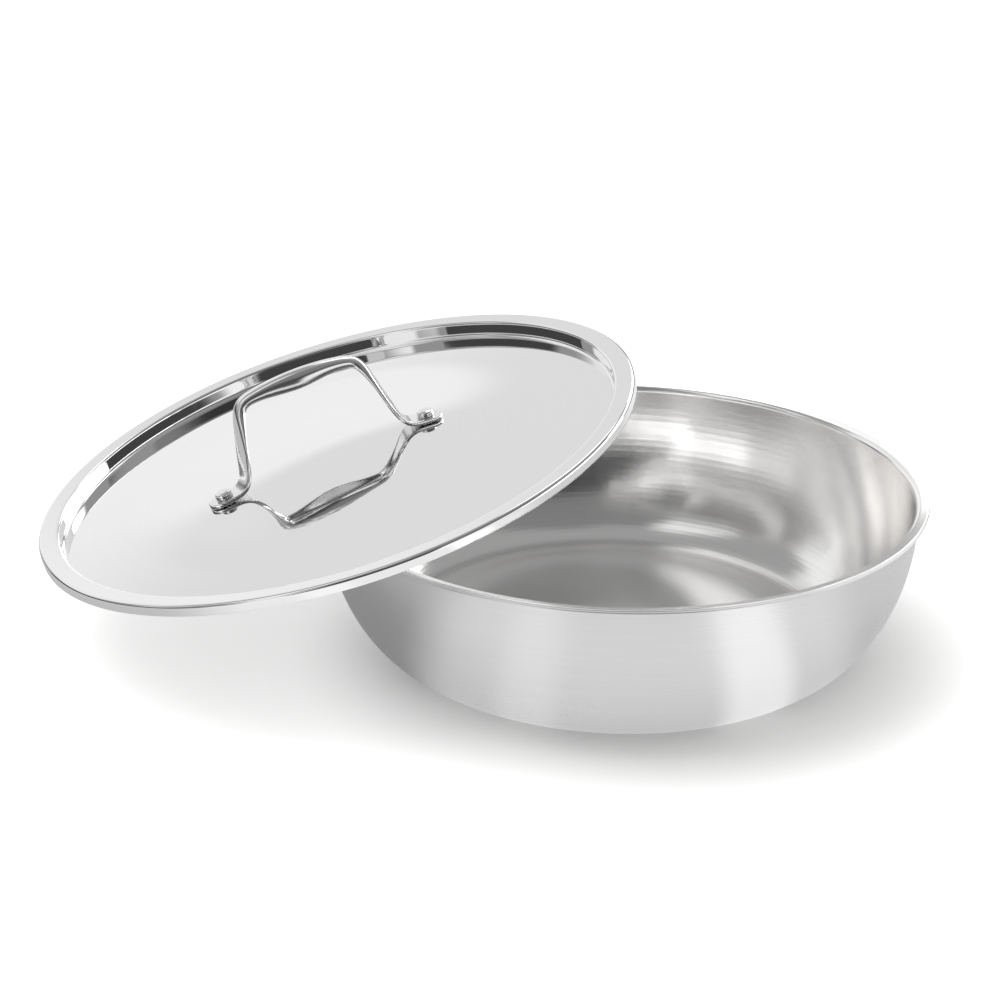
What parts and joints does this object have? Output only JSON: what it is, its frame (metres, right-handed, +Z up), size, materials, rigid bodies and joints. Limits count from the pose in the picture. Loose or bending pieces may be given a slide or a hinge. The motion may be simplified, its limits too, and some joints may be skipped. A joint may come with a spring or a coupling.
{
  "type": "shallow cooking pot",
  "caption": "Shallow round cooking pot with curved sides and a flared rim, and a recessed lid with a riveted strap handle that leans on the rim.",
  "frame": {"origin": "centre of the pot's flat base, on the surface that it stands on", "axes": "+Z up along the pot's own axis; the lid leans over the rim toward -X; -Y faces the viewer"},
  "size_m": [0.3789, 0.2748, 0.1182],
  "materials": {
    "pot_inner_skin": "brushed round the bowl",
    "pot_aluminium_core": "bare, sealed between the skins",
    "pot_outer_skin": "satin",
    "lid": "mirror polished steel",
    "lid_handle": "polished steel",
    "left_rivet": "polished steel",
    "right_rivet": "polished steel"
  },
  "bodies": {
    "pot": {"pot_inner_skin": "pot_inner_skin", "pot_aluminium_core": "pot_aluminium_core", "pot_outer_skin": "pot_outer_skin"},
    "lid": {"lid": "lid", "lid_handle": "lid_handle", "left_rivet": "left_rivet", "right_rivet": "right_rivet"}
  },
  "joints": [
    {"name": "lid_lift", "type": "slide", "parent": "pot", "child": "lid", "axis": [0, 0, 1], "range_m": [0, 0.12]}
  ]
}
